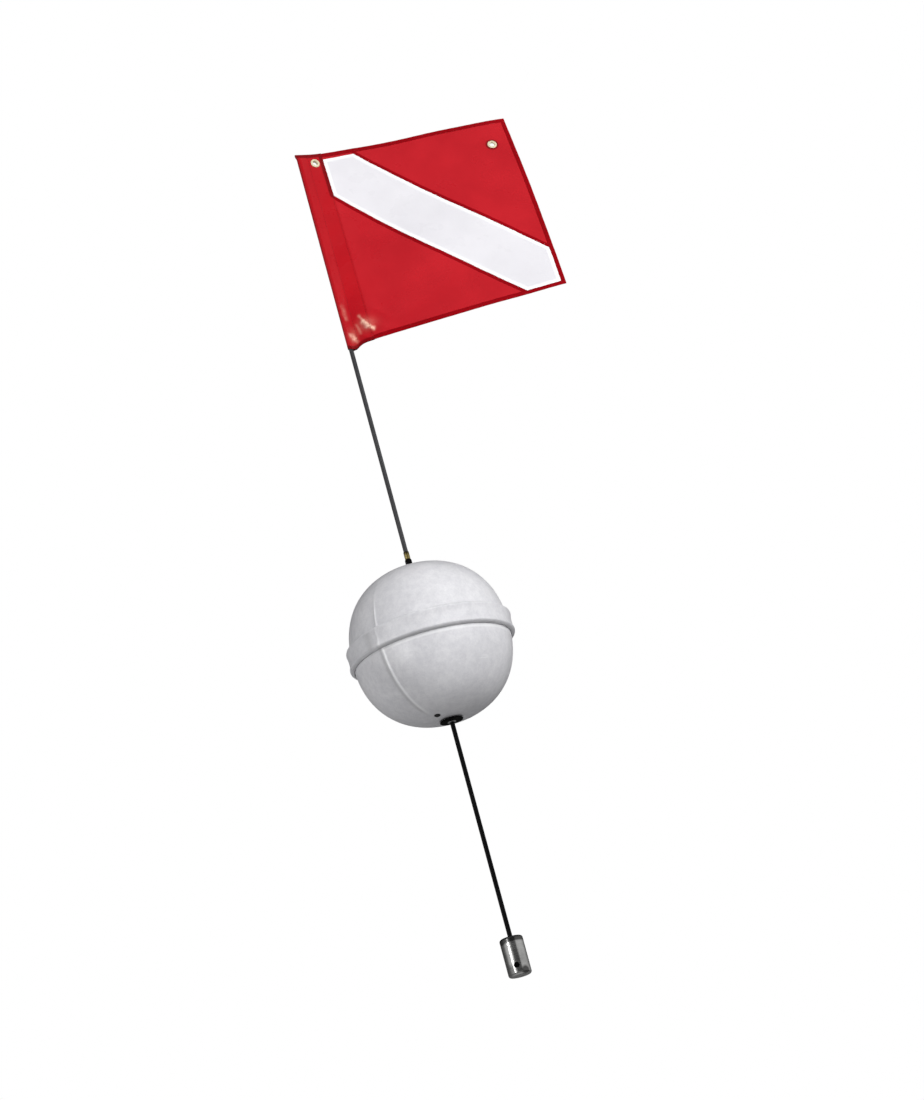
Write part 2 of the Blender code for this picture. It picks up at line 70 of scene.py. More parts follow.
# ------------------------------------------------------------------ materials
class Mat:
    """A small builder for a node material round one Principled shader."""

    def __init__(self, name):
        self.m = bpy.data.materials.new(name)
        self.m.use_nodes = True
        self.t = self.m.node_tree
        self.b = self.t.nodes["Principled BSDF"]
        self.co = self.t.nodes.new("ShaderNodeTexCoord").outputs["Object"]
        self.normal = None

    def set(self, **values):
        for k, v in values.items():
            self.b.inputs[k.replace("_", " ")].default_value = v
        return self

    def node(self, kind, **props):
        n = self.t.nodes.new(kind)
        for k, v in props.items():
            setattr(n, k, v)
        return n

    def link(self, a, b):
        self.t.links.new(a, b)

    def stretched(self, scale):
        n = self.node("ShaderNodeMapping")
        n.inputs["Scale"].default_value = scale
        self.link(self.co, n.inputs["Vector"])
        return n.outputs["Vector"]

    def noise(self, scale, detail=4.0, rough=0.55, vector=None, distortion=0.0):
        n = self.node("ShaderNodeTexNoise")
        n.inputs["Scale"].default_value = scale
        n.inputs["Detail"].default_value = detail
        n.inputs["Roughness"].default_value = rough
        n.inputs["Distortion"].default_value = distortion
        self.link(vector or self.co, n.inputs["Vector"])
        return n.outputs["Fac"]

    def ramp(self, fac, *stops):
        n = self.node("ShaderNodeValToRGB")
        el = n.color_ramp.elements
        while len(el) < len(stops):
            el.new(0.5)
        for i, (pos, col) in enumerate(stops):
            el[i].position = pos
            el[i].color = (*col, 1.0)
        self.link(fac, n.inputs["Fac"])
        return n.outputs["Color"]

    def span(self, fac, lo, hi, a=0.3, b=0.7):
        n = self.node("ShaderNodeMapRange")
        n.inputs["From Min"].default_value = a
        n.inputs["From Max"].default_value = b
        n.inputs["To Min"].default_value = lo
        n.inputs["To Max"].default_value = hi
        self.link(fac, n.inputs["Value"])
        return n.outputs["Result"]

    def mix(self, fac, a, b, mode="MIX"):
        n = self.node("ShaderNodeMix", data_type="RGBA", blend_type=mode)
        for sock, val in ((0, fac), (6, a), (7, b)):
            if isinstance(val, (int, float)):
                n.inputs[sock].default_value = val
            elif isinstance(val, tuple):
                n.inputs[sock].default_value = (*val, 1.0)
            else:
                self.link(val, n.inputs[sock])
        return n.outputs[2]

    def attribute(self, name):
        return self.node("ShaderNodeAttribute", attribute_name=name).outputs["Fac"]

    def colour(self, socket):
        self.link(socket, self.b.inputs["Base Color"])
        return self

    def roughness(self, socket):
        self.link(socket, self.b.inputs["Roughness"])
        return self

    def bump(self, height, distance, strength=1.0):
        n = self.node("ShaderNodeBump")
        n.inputs["Strength"].default_value = strength
        n.inputs["Distance"].default_value = distance
        self.link(height, n.inputs["Height"])
        if self.normal is not None:
            self.link(self.normal, n.inputs["Normal"])
        self.normal = n.outputs["Normal"]
        self.link(self.normal, self.b.inputs["Normal"])
        return self


def ball_material():
    k = Mat("ball_plastic_grained")
    blotch = k.noise(9.0, 3.0)
    speck = k.noise(420.0, 2.0, 0.6)
    base = k.ramp(blotch, (0.3, (0.75, 0.748, 0.771)), (0.7, (0.813, 0.809, 0.83)))
    fine = k.ramp(speck, (0.35, (0.955, 0.955, 0.96)), (0.6, (1.0, 1.0, 1.0)))
    base = k.mix(1.0, base, fine, "MULTIPLY")
    # rubbed patches and a few thin scuffs, then the painted highlight and painted shade
    rub = k.ramp(k.noise(22.0, 6.0, 0.65, None, 1.2), (0.52, (0.0,) * 3), (0.75, (1.0,) * 3))
    base = k.mix(k.span(rub, 0.0, 0.35, 0.0, 1.0), base, (0.66, 0.66, 0.68))
    scuff = k.ramp(k.noise(55.0, 3.0, 0.5, k.stretched((0.25, 0.25, 2.4)), 2.0),
                   (0.70, (0.0,) * 3), (0.76, (1.0,) * 3))
    base = k.mix(k.span(scuff, 0.0, 0.5, 0.0, 1.0), base, (0.90, 0.90, 0.91))
    broad = k.ramp(k.noise(16.0, 3.0, 0.5, None, 0.8), (0.35, (0.93, 0.93, 0.935)),
                   (0.65, (1.0, 1.0, 1.0)))
    base = k.mix(1.0, base, broad, "MULTIPLY")
    mottle = k.ramp(k.noise(110.0, 4.0, 0.65), (0.36, (0.90, 0.90, 0.91)), (0.64, (1.0, 1.0, 1.0)))
    base = k.mix(1.0, base, mottle, "MULTIPLY")
    # painted highlight along the mould line and below the belt, then painted shade beside the mould line and
    # round the belt's lips
    base = k.mix(k.attribute("mould"), base, (0.93, 0.93, 0.94))
    base = k.mix(k.attribute("painted_shade"), base, (0.40, 0.40, 0.41))
    k.colour(base)
    k.roughness(k.span(k.mix(0.4, k.noise(30.0, 4.0), rub), 0.32, 0.52))
    k.bump(k.noise(520.0, 2.0, 0.6), 0.0002, 0.16)
    k.bump(k.noise(105.0, 3.0, 0.55), 0.0007, 0.22)
    k.bump(k.noise(38.0, 3.0), 0.0010, 0.18)
    k.set(Specular_IOR_Level=0.5)
    return k.m


def rod_material(name, dark, light, gloss=0.5):
    k = Mat(name)
    grain = k.noise(60.0, 5.0, 0.6, k.stretched((14.0, 14.0, 0.35)))
    k.colour(k.ramp(grain, (0.3, dark), (0.72, light)))
    k.roughness(k.span(k.noise(35.0, 3.0), 0.26, 0.44))
    k.bump(grain, 0.0001, 0.5)
    k.set(Specular_IOR_Level=gloss)
    return k.m


def rubber_material(name, tone=0.016):
    k = Mat(name)
    dust = k.noise(90.0, 5.0, 0.6)
    k.colour(k.ramp(dust, (0.35, (tone * 0.7,) * 3), (0.75, (tone * 2.0,) * 3)))
    k.roughness(k.span(k.noise(60.0, 3.0), 0.5, 0.72))
    k.bump(k.noise(700.0, 2.0), 0.0001, 0.5)
    k.set(Specular_IOR_Level=0.04)
    return k.m


def metal_material(name, lo, hi, rough_lo, rough_hi, stretch, scale=50.0, strength=0.35,
                   painted_dark_reflection=False, metal=1.0):
    k = Mat(name)
    lines = k.noise(scale, 5.0, 0.62, k.stretched(stretch))
    stain_and_painted_dark = k.noise(40.0, 4.0)
    tone = k.ramp(stain_and_painted_dark, (0.3, lo), (0.65, hi))
    tone = k.mix(0.35, tone, k.ramp(lines, (0.3, lo), (0.7, hi)))
    if painted_dark_reflection:
        # painted dark reflection from the attribute, broken up by fine noise
        painted_dark_patch = k.mix(0.35, k.attribute("stain_and_painted_dark"), k.noise(170.0, 4.0, 0.6))
        tone = k.mix(k.span(painted_dark_patch, 0.0, 0.88, 0.30, 0.72), tone, (0.045, 0.045, 0.044))
    k.colour(tone)
    k.roughness(k.span(k.mix(0.5, lines, stain_and_painted_dark), rough_lo, rough_hi))
    k.bump(lines, 0.00006, strength)
    k.set(Metallic=metal)
    return k.m


def vinyl_material(name, dark, light, edge=None, gloss=0.26):
    """Vinyl-coated cloth: a fine embossed grain over a faint weave."""
    k = Mat(name)
    cloud = k.noise(14.0, 4.0, 0.55)
    tone = k.ramp(cloud, (0.3, dark), (0.7, light))
    thread = k.noise(900.0, 2.0, 0.5)
    tone = k.mix(0.12, tone, k.ramp(thread, (0.4, dark), (0.6, light)))
    if edge is not None:
        tone = k.mix(k.attribute("hem"), tone, edge)
        # painted highlight: a pale peach glint where the cloth is creased hard
        broken = k.span(k.noise(300.0, 3.0, 0.6), 0.65, 1.0, 0.35, 0.58)
        part = k.node("ShaderNodeMath", operation="MULTIPLY")
        k.link(k.attribute("crease_glint"), part.inputs[0])
        k.link(broken, part.inputs[1])
        tone = k.mix(part.outputs[0], tone, (0.98, 0.58, 0.44))
    k.colour(tone)
    k.roughness(k.span(k.noise(24.0, 3.0), 0.24, 0.36))
    k.bump(thread, 0.00012, 0.3)
    k.bump(k.noise(70.0, 4.0, 0.6, None, 0.6), 0.0005, 0.25)
    k.set(Specular_IOR_Level=gloss)
    return k.m


def plastic_material(name, dark, light):
    k = Mat(name)
    k.colour(k.ramp(k.noise(40.0, 4.0), (0.3, dark), (0.7, light)))
    k.roughness(k.span(k.noise(60.0, 3.0), 0.35, 0.5))
    k.bump(k.noise(500.0, 2.0), 0.0001, 0.4)
    return k.m


BALL = ball_material()
ROD_LOW = rod_material("rod_black_fibre", (0.0012, 0.0012, 0.0014), (0.005, 0.005, 0.0055), 0.07)
ROD_UP = rod_material("rod_grey_fibre", (0.026, 0.026, 0.028), (0.066, 0.066, 0.07), 0.35)
BLACK = rubber_material("rubber_black", 0.0025)
PLUG = rubber_material("rubber_plug", 0.022)
STEEL = metal_material("steel_plain", (0.38, 0.38, 0.38), (0.55, 0.55, 0.55), 0.25, 0.4, (1, 1, 30))
# the polished steel takes painted dark reflections from its attribute
BRIGHT = metal_material("steel_polished", (0.34, 0.34, 0.335), (0.66, 0.66, 0.65), 0.13, 0.3,
                        (0.8, 0.8, 16.0), 55.0, 0.5, True)
# near-black bores of the weight's holes: painted shade inside the holes
HOLE = rubber_material("steel_drilled_painted_shade", 0.009)
BRASS = metal_material("brass_turned", (0.34, 0.26, 0.08), (0.66, 0.54, 0.23), 0.2, 0.38, (1, 1, 30))


def brass_with_shaded_top():
    """Brass of the ferrule, painted dark brown from its upper half on as shade."""
    k = Mat("brass_painted_shade_top")
    pos = k.node("ShaderNodeSeparateXYZ")
    k.link(k.co, pos.inputs["Vector"])
    stain_and_painted_dark = k.noise(220.0, 4.0)
    lines = k.noise(60.0, 4.0, 0.6, k.stretched((1, 1, 30)))
    brass = k.ramp(lines, (0.3, (0.30, 0.23, 0.07)), (0.7, (0.62, 0.51, 0.22)))
    # painted shade: the brass darkens towards the top of the ferrule
    high = k.span(pos.outputs["Z"], 0.0, 1.0, 0.1465, 0.1520)
    dark = k.mix(0.35, high, stain_and_painted_dark)
    k.colour(k.mix(k.span(dark, 0.0, 1.0, 0.2, 0.75), brass, (0.035, 0.028, 0.012)))
    k.roughness(k.span(k.mix(0.5, lines, stain_and_painted_dark), 0.25, 0.5))
    k.bump(lines, 0.00006, 0.4)
    k.set(Metallic=1.0)
    return k.m


FERRULE_BRASS_SHADED = brass_with_shaded_top()
EYELET = metal_material("brass_stamped", (0.74, 0.64, 0.40), (0.95, 0.87, 0.64), 0.3, 0.5, (1, 1, 1),
                        metal=0.35)
# the red's edge colour is the painted shade round the eyelets
RED = vinyl_material("vinyl_red", (0.445, 0.008, 0.015), (0.525, 0.012, 0.020),
                     (0.13, 0.002, 0.003))
SLEEVE = vinyl_material("vinyl_sleeve", (0.405, 0.005, 0.011), (0.48, 0.008, 0.014),
                        (0.20, 0.0004, 0.003), 0.18)
HEM = vinyl_material("vinyl_hem", (0.25, 0.0004, 0.003), (0.31, 0.0008, 0.005),
                     (0.15, 0.0004, 0.002), 0.10)
WHITE = vinyl_material("vinyl_white", (0.72, 0.71, 0.745), (0.79, 0.78, 0.815),
                       (0.90, 0.90, 0.915))
THREAD = vinyl_material("thread_red", (0.20, 0.001, 0.005), (0.30, 0.003, 0.010))
TUBE = plastic_material("tube_white", (0.6, 0.6, 0.6), (0.72, 0.72, 0.72))
BUSH = plastic_material("bush_grey", (0.55, 0.55, 0.56), (0.66, 0.66, 0.67))

CAD_FINISH = {
    "belt_seal": BLACK, "core_tube": TUBE, "tube_seal_upper": BLACK,
    "tube_seal_lower": BLACK, "pole_bush_upper": BUSH, "pole_bush_lower": BUSH,
    "vent_plug": PLUG, "pole_lower": ROD_LOW, "pole_socket": BRASS,
    "top_collar": BLACK, "bottom_washer": BLACK, "push_nut": STEEL,
    "weight_set_screw": STEEL, "pole_upper": ROD_UP, "pole_ferrule": FERRULE_BRASS_SHADED,
    "pole_tip": BLACK, "grommet_hoist_eyelet": EYELET, "grommet_hoist_washer": EYELET,
    "grommet_fly_eyelet": EYELET, "grommet_fly_washer": EYELET,
}
for name, mat in CAD_FINISH.items():
    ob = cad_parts[name]
    if not ob.material_slots:
        ob.data.materials.append(mat)
    for s in ob.material_slots:
        s.material = mat


# ------------------------------------------------------------------ mesh tools
def add(name, verts, faces, mat, smooth=40.0):
    """A mesh piece from millimetre points, its faces turned outwards."""
    me = bpy.data.meshes.new(name)
    me.from_pydata([tuple(p) for p in (np.asarray(verts) * MM).tolist()], [], faces)
    bm = bmesh.new()
    bm.from_mesh(me)
    bmesh.ops.recalc_face_normals(bm, faces=bm.faces)
    bm.to_mesh(me)
    bm.free()
    me.materials.append(mat)
    me.shade_smooth()
    me.set_sharp_from_angle(angle=math.radians(smooth))
    ob = bpy.data.objects.new(name, me)
    bpy.context.scene.collection.objects.link(ob)
    return ob


def lathe(profile, thetas, swell=None):
    """Closed ring from an (r, z) outline that doesn't touch the axis."""
    prof = np.array(profile, float)
    n, m_ = len(prof), len(thetas)
    r_ = np.repeat(prof[:, :1], m_, 1)
    z_ = np.repeat(prof[:, 1:2], m_, 1)
    th = np.repeat(np.asarray(thetas)[None], n, 0)
    if swell is not None:
        r_, z_ = swell(r_, z_, th)
    verts = np.stack([r_ * np.cos(th), r_ * np.sin(th), z_], -1).reshape(-1, 3)
    faces = []
    for i in range(n):
        k = (i + 1) % n
        for j in range(m_):
            l = (j + 1) % m_
            faces.append((i * m_ + j, i * m_ + l, k * m_ + l, k * m_ + j))
    return verts, faces


def closed_grid(front, back):
    """Closed sheet between two grids of points of the same size."""
    rows, cols = front.shape[:2]
    verts = np.concatenate([front.reshape(-1, 3), back.reshape(-1, 3)])
    off = rows * cols
    faces = []
    for j in range(rows - 1):
        a = j * cols
        for i in range(cols - 1):
            p, q, s, t = a + i, a + i + 1, a + cols + i + 1, a + cols + i
            faces.append((p, q, s, t))
            faces.append((off + t, off + s, off + q, off + p))
    rim = ([i for i in range(cols)]
           + [j * cols + cols - 1 for j in range(1, rows)]
           + [(rows - 1) * cols + i for i in range(cols - 2, -1, -1)]
           + [j * cols for j in range(rows - 2, 0, -1)])
    for a, b in zip(rim, rim[1:] + rim[:1]):
        faces.append((b, a, off + a, off + b))
    return verts, faces


def cylinder(p, q, radius, steps=48):
    p, q = Vector(p) * MM, Vector(q) * MM
    d = q - p
    bm = bmesh.new()
    bmesh.ops.create_cone(bm, cap_ends=True, segments=steps, radius1=radius * MM,
                          radius2=radius * MM, depth=d.length)
    rot = d.to_track_quat('Z', 'Y').to_matrix().to_4x4()
    bmesh.ops.transform(bm, matrix=Matrix.Translation((p + q) / 2) @ rot, verts=bm.verts)
    me = bpy.data.meshes.new("tool")
    bm.to_mesh(me)
    bm.free()
    ob = bpy.data.objects.new("tool", me)
    bpy.context.scene.collection.objects.link(ob)
    return ob


def carve(ob, tools, inside=None):
    """Cut the tools out of the piece and remove them."""
    for t in tools:
        if inside is not None:
            t.data.materials.append(inside)
        mod = ob.modifiers.new("cut", 'BOOLEAN')
        mod.operation = 'DIFFERENCE'
        mod.solver = 'EXACT'
        mod.material_mode = 'TRANSFER' if inside is not None else 'INDEX'
        mod.object = t
    dg = bpy.context.evaluated_depsgraph_get()
    me = bpy.data.meshes.new_from_object(ob.evaluated_get(dg))
    ob.modifiers.clear()
    old = ob.data
    ob.data = me
    bpy.data.meshes.remove(old)
    for t in tools:
        bpy.data.objects.remove(t, do_unlink=True)
    me.shade_smooth()
    me.set_sharp_from_angle(angle=math.radians(40))
    return ob


# ------------------------------------------------------------------ the ball
A, B, N = 122.4, 123.6, 2.28
WALL = 3.0
SEAT = 121.5
RIB = math.radians(-125.7)       # mould line, left of the front
RIB_H, RIB_W = 0.85, 2.1


def ball_r(z, a=A, b=B):
    return a * (1.0 - min(abs(z) / b, 1.0) ** N) ** (1.0 / N)


def ball_z(r_, a=A, b=B):
    return b * (1.0 - min(r_ / a, 1.0) ** N) ** (1.0 / N)


def arc(z_low, z_high, count, a=A, b=B):
    lo = math.atan2(z_low / b, ball_r(z_low, a, b) / a)
    hi = math.atan2(z_high / b, ball_r(z_high, a, b) / a)
    pts = []
    for th in np.linspace(lo, hi, count):
        c, s = math.cos(th), math.sin(th)
        k = (abs(c) ** N + abs(s) ** N) ** (-1.0 / N)
        pts.append((a * k * c, b * k * s))
    return pts


def rounded(points, per=5, soft=0.35):
    """The broken line with each inner corner eased over part of its edges."""
    pts = [np.array(p, float) for p in points]
    out = [pts[0]]
    for a, b, c in zip(pts, pts[1:], pts[2:]):
        p, q = b + (a - b) * soft, b + (c - b) * soft
        for t in np.linspace(0, 1, per):
            out.append((1 - t) ** 2 * p + 2 * t * (1 - t) * b + t * t * q)
    out.append(pts[-1])
    return [tuple(p) for p in out]


near = np.array([-6, -4.6, -3.6, -2.9, -2.3, -1.8, -1.4, -1, -0.65, -0.3, 0,
                 0.3, 0.65, 1, 1.4, 1.8, 2.3, 2.9, 3.6, 4.6, 6]) / A
thetas = np.unique(np.round(np.concatenate(
    [np.linspace(-math.pi, math.pi, 224, endpoint=False), RIB + near,
     RIB + math.pi + near]), 6))
thetas = thetas[np.concatenate([[True], np.diff(thetas) > 0.0012])]


def swell(r_, z_, th):
    """The mould line's rib, on the outside only, and a slight unevenness."""
    outside = np.clip((r_ - (ball_outer(z_) - 1.4)) / 0.6, 0, 1)
    d = np.minimum(np.abs((th - RIB + math.pi) % (2 * math.pi) - math.pi),
                   np.abs((th - RIB) % (2 * math.pi) - math.pi)) * r_
    seam = (th - RIB + math.pi) % (2 * math.pi) - math.pi
    rib = RIB_H * np.exp(-(d / RIB_W) ** 2) * np.clip((np.abs(z_) - 15.5) / 2.5, 0.45, 1) \
        * np.clip((66 - z_) / 24, 0.1, 1)
    rib = rib * np.clip((SEAT - 1.5 - np.abs(z_)) / 4, 0, 1)
    wave = 0.22 * np.sin(2 * th + 0.6) * np.cos(z_ / 41.0) + 0.12 * np.sin(5 * th + z_ / 33.0)
    wave = wave * np.clip((SEAT - 2 - np.abs(z_)) / 20, 0, 1)
    return r_ + (rib + wave) * outside, z_


def ball_outer(z_):
    t = np.clip(np.abs(z_) / B, 0, 0.99999)
    return A * (1 - t ** N) ** (1 / N)


IN_A, IN_B = A - WALL, B - WALL
HUB_R, TUBE_R = 12.6, 9.55
hub_z = ball_z(HUB_R, IN_A, IN_B) - 0.2
hub = [(HUB_R, hub_z), (HUB_R, 106.0), (TUBE_R, 106.0), (TUBE_R, 119.6), (7.3, 119.6)]
dome = arc(19.5, SEAT, 46)
belt = rounded([(ball_r(19.5), 19.5), (ball_r(17.6) + 0.6, 17.6), (127.9, 16.0),
                (128.9, 13.4), (128.1, 10.0), (127.4, 5.5), (127.2, 0.5),
                (127.4, -4.6), (128.0, -8.2), (128.8, -10.4), (128.9, -12.7),
                (126.3, -15.0), (123.4, -16.2), (122.9, -16.0)], 5, 0.42)
upper = ([(7.3, SEAT - 0.4), (7.7, SEAT)] + dome[::-1] + belt[1:]
         + [(122.9, 3.2)] + arc(3.2, hub_z, 14, IN_A, IN_B)[:-1] + hub)
def mark_ball(ob):
    """Painted highlight on the mould line's crest, on the belt at it and just below the belt;
    painted shade beside it, on the belt left of it, under the lower lip and over the belt."""
    p = np.empty(len(ob.data.vertices) * 3, np.float32)
    ob.data.vertices.foreach_get("co", p)
    p = p.reshape(-1, 3) * 1000.0
    rad = np.hypot(p[:, 0], p[:, 1])
    th = np.arctan2(p[:, 1], p[:, 0])
    seam = (th - RIB + math.pi) % (2 * math.pi) - math.pi
    back = (th - RIB) % (2 * math.pi) - math.pi
    d = np.where(np.abs(seam) < np.abs(back), seam, back) * rad
    z = p[:, 2]
    side = np.clip((np.abs(z) - 15.0) / 2.0, 0.25, 1)
    outside = np.clip((rad - (ball_outer(z) - 1.4)) / 0.6, 0, 1)
    end = np.clip((SEAT - 3 - np.abs(z)) / 8, 0, 1)
    strong = np.where(z > 0, 0.22 * np.clip((92 - z) / 36, 0.1, 1), 0.62)
    # painted highlight: a pale line on the mould line's crest
    mould = np.exp(-((d - 0.3) / np.where(z > 0, 1.5, 2.1)) ** 2) * side * outside * end * strong
    # painted highlight: a pale blob on the belt where the mould line crosses it
    mould = mould + 0.7 * np.exp(-(d / 3.4) ** 2 - ((z + 9.5) / 5) ** 2) * outside
    # how strongly the painted marks at the belt show, by side of the mould line
    right = np.where(d > 0, 1.0, np.where(d < -150, 0.6, 0.3))
    right = np.where((d >= -10) & (d <= 0), 0.3 + 0.07 * (d + 10), right)
    # painted shade along the left flank of the mould line
    painted_left_shade = np.exp(-((d + 4.4) / 2.6) ** 2) * side * outside * end * np.where(z > 0, 0.12, 0.5)
    # painted shadow under the belt's lower lip
    under = 0.5 * np.exp(-((z + 15.6) / 1.6) ** 2) * outside * right
    # painted shade along the belt's upper edge
    over = 0.12 * np.exp(-((z - 18.2) / 1.3) ** 2) * outside
    # painted shade on the belt left of the mould line
    painted_dark_patch = 0.42 * np.exp(-((d + 17) / 9) ** 2) * np.clip((15 - np.abs(z)) / 3, 0, 1)
    # painted highlight: a pale line just below the belt
    pale = 0.75 * np.exp(-((z + 19.8) / 1.4) ** 2) * outside * right
    mould = np.clip(mould + pale, 0, 1)
    painted_left_shade = painted_left_shade + painted_dark_patch
    # the first attribute holds the painted highlights, the second the painted shade
    float_attribute(ob, "mould", mould * 0.9)
    float_attribute(ob, "painted_shade", np.clip(painted_left_shade + under + over, 0, 0.6))


def float_attribute(ob, name, values):
    a = ob.data.attributes.new(name, 'FLOAT', 'POINT')
    a.data.foreach_set("value", np.asarray(values, np.float32).ravel())


ball_up = add("ball_upper", *lathe(upper, thetas, swell), BALL)
mark_ball(ball_up)
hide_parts("shell_upper")
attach(ball_up, "float_ball")

bowl = arc(-SEAT, -0.9, 60)
lower = ([(7.3, -119.6), (TUBE_R, -119.6), (TUBE_R, -106.0), (HUB_R, -106.0)]
         + arc(-hub_z, 0.0, 14, IN_A, IN_B) + [(IN_A + 0.2, 0.2), (A - 0.3, 0.2)]
         + bowl[::-1] + [(7.7, -SEAT), (7.3, -SEAT + 0.4)])
ball_low = add("ball_lower", *lathe(lower, thetas, swell), BALL)
mark_ball(ball_low)

# vent hole with its shallow seat, square to the surface
plug_at = Vector((-18.383, -33.029, -119.898))
plug_n = Vector((-0.10891, -0.19567, -0.9746)).normalized()
carve(ball_low, [cylinder(plug_at - plug_n * 0.9, plug_at + plug_n * 6, 5.3),
                 cylinder(plug_at - plug_n * 9, plug_at + plug_n * 3, 2.95)])
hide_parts("shell_lower")
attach(ball_low, "float_ball")

# ------------------------------------------------------------------ the weight
W_R, W_Z0, W_Z1, W_F = 17.5, -521.5, -464.0, 3.8
even = np.linspace(-math.pi, math.pi, 128, endpoint=False)


def weight_profile():
    pts = []
    for a in np.linspace(-90, 0, 12):
        t = math.radians(a)
        pts.append((W_R - W_F + W_F * math.cos(t), W_Z0 + W_F + W_F * math.sin(t)))
    for z in np.linspace(W_Z0 + W_F + 1, W_Z1 - W_F - 1, 40):
        pts.append((W_R + 0.03 * math.sin(z * 2.1) - 0.02, z))
    for a in np.linspace(0, 90, 12):
        t = math.radians(a)
        pts.append((W_R - W_F + W_F * math.cos(t), W_Z1 - W_F + W_F * math.sin(t)))
    return pts


prof = weight_profile()
outline = ([(0.02, W_Z0)] + prof
           + [(4.6, W_Z1), (3.8, W_Z1 - 0.7), (3.8, -501.3), (0.02, -501.3)])
weight = add("weight_body", *lathe(outline, even), BRIGHT)
t5 = math.radians(5.0)
d5 = Vector((-math.sin(t5), -math.cos(t5), math.sin(t5)))
eye = Vector((0, 0, -509.1))
wp = np.empty(len(weight.data.vertices) * 3, np.float32)
weight.data.vertices.foreach_get("co", wp)
wp = wp.reshape(-1, 3) * 1000.0
# painted dark reflection: the top band, the left edge and two spots low on the front
spot = np.linalg.norm(wp - np.array([9.5, -14.0, -517.0]), axis=1)
spot2 = np.linalg.norm((wp - np.array([-7.5, -15.5, -513.0])) * [1, 1, 0.7], axis=1)
float_attribute(weight, "stain_and_painted_dark", np.clip(
    np.clip((wp[:, 2] + 474.5) / 4.0, 0, 1) + 1.6 * np.exp(-(spot / 5.8) ** 2)
    + 0.62 * np.exp(-(spot2 / 5.5) ** 2)
    + 0.45 * np.clip((-0.55 - wp[:, 0] / W_R) / 0.2, 0, 1), 0, 1))
carve(weight, [cylinder(d5 * -30 + eye, d5 * 30 + eye, 4.4),
               cylinder((0, 1.0, -484.0), (0, 30, -484.0), 2.8)], HOLE)
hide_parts("weight")
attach(weight, "lower_pole")

# ------------------------------------------------------------------ the flag
TOP, H, W = 862.3, 355.6, 365.6
FOLD = 5.2
LIFT = 22.6
HEAD_DIP, FOOT_DROOP = 4.8, 6.5
TOP_YAW = (34.0, -3.5, 18.0)
BOTTOM_YAW = (-0.7, 5.7, 8.4)
GX, GW = np.polynomial.legendre.leggauss(8)


def quad(c, s):
    return c[0] * (1 - s) ** 2 + 2 * c[1] * s * (1 - s) + c[2] * s ** 2


def row(u, t):
    u, t = np.broadcast_arrays(np.asarray(u, float), np.asarray(t, float))
    span = u - FOLD
    x = np.zeros(u.shape)
    y, xt, yt = x.copy(), x.copy(), x.copy()
    for g, w in zip(GX, GW):
        s = (FOLD + span * (g + 1) / 2) / W
        top, bot = np.radians(quad(TOP_YAW, s)), np.radians(quad(BOTTOM_YAW, s))
        psi = t * top + (1 - t) * bot
        k = w * span / 2
        x = x + k * np.cos(psi)
        y = y + k * np.sin(psi)
        xt = xt - k * np.sin(psi) * (top - bot)
        yt = yt + k * np.cos(psi) * (top - bot)
    return x, y, xt, yt


def ease(x):
    x = np.clip(x, 0.0, 1.0)
    return x * x * (3 - 2 * x)


def slump(u, v):
    """How far the hoist's cloth hangs below its even shape."""
    head = HEAD_DIP * (1 - ease((u - 20.0) / 90.0)) * (1 - ease(v / 130.0))
    foot = FOOT_DROOP * np.exp(-((u - 12.0) / 10.0) ** 2) * ease((v - 305.0) / 50.0)
    return head + foot


def flag_mid(u, v):
    u, v = np.broadcast_arrays(np.asarray(u, float), np.asarray(v, float))
    t = 1.0 - v / H
    x, y, _, _ = row(u, t)
    z = TOP - H + LIFT * u / W - slump(u, v)
    for g, w in zip(GX, GW):
        _, _, xt, yt = row(u, t * (g + 1) / 2)
        z = z + w * t / 2 * np.sqrt(H ** 2 - xt ** 2 - yt ** 2)
    return np.stack([x, y, z], -1)


def bump(x, c, w):
    return np.exp(-((x - c) / w) ** 2)


def crease(u, v, cu, cv, angle, height, width, length):
    """A ridge towards the front, running angle degrees below the fly's direction."""
    a = math.radians(angle)
    along = (u - cu) * math.cos(a) + (v - cv) * math.sin(a)
    across = (u - cu) * math.sin(a) - (v - cv) * math.cos(a)
    return -height * np.exp(-(across / width) ** 2 - (along / length) ** 2)


